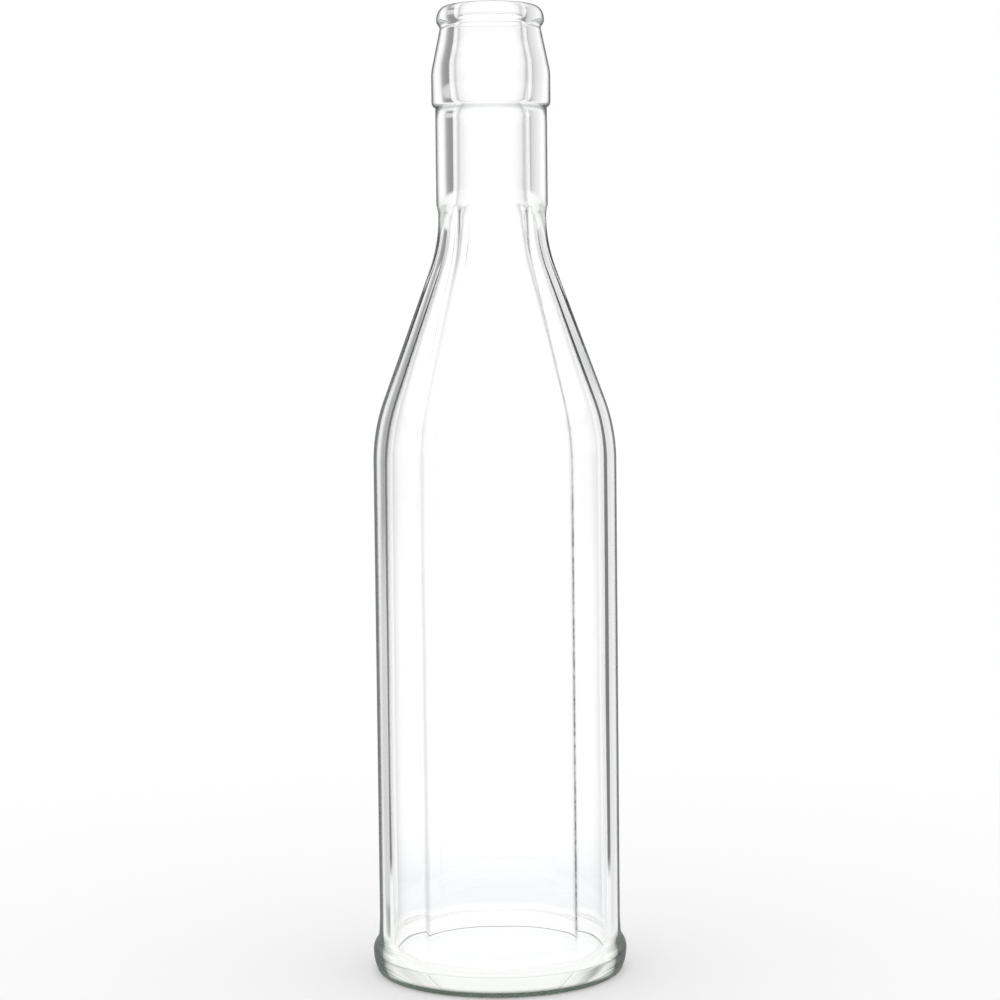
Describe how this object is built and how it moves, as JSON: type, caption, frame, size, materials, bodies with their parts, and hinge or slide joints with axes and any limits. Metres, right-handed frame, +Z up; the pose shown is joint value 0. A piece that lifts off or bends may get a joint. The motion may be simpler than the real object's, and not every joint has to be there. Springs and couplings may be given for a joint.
{
  "type": "glass soda bottle",
  "caption": "Clear glass soda bottle with a panelled body and shoulder, a round neck, a collar and a crown-cork lip, open and empty.",
  "frame": {"origin": "centre of the ring that the bottle stands on", "axes": "+Z up the bottle's axis, towards the mouth; ridges between panels lie at -Y and +Y, and panels face +X and -X"},
  "size_m": [0.0638, 0.0638, 0.24],
  "materials": {
    "flint_glass": "clear fire-polished flint glass"
  },
  "bodies": {
    "root": {"base": "flint_glass", "heel": "flint_glass", "body": "flint_glass", "shoulder": "flint_glass", "neck": "flint_glass", "collar": "flint_glass", "lip": "flint_glass"}
  },
  "joints": []
}
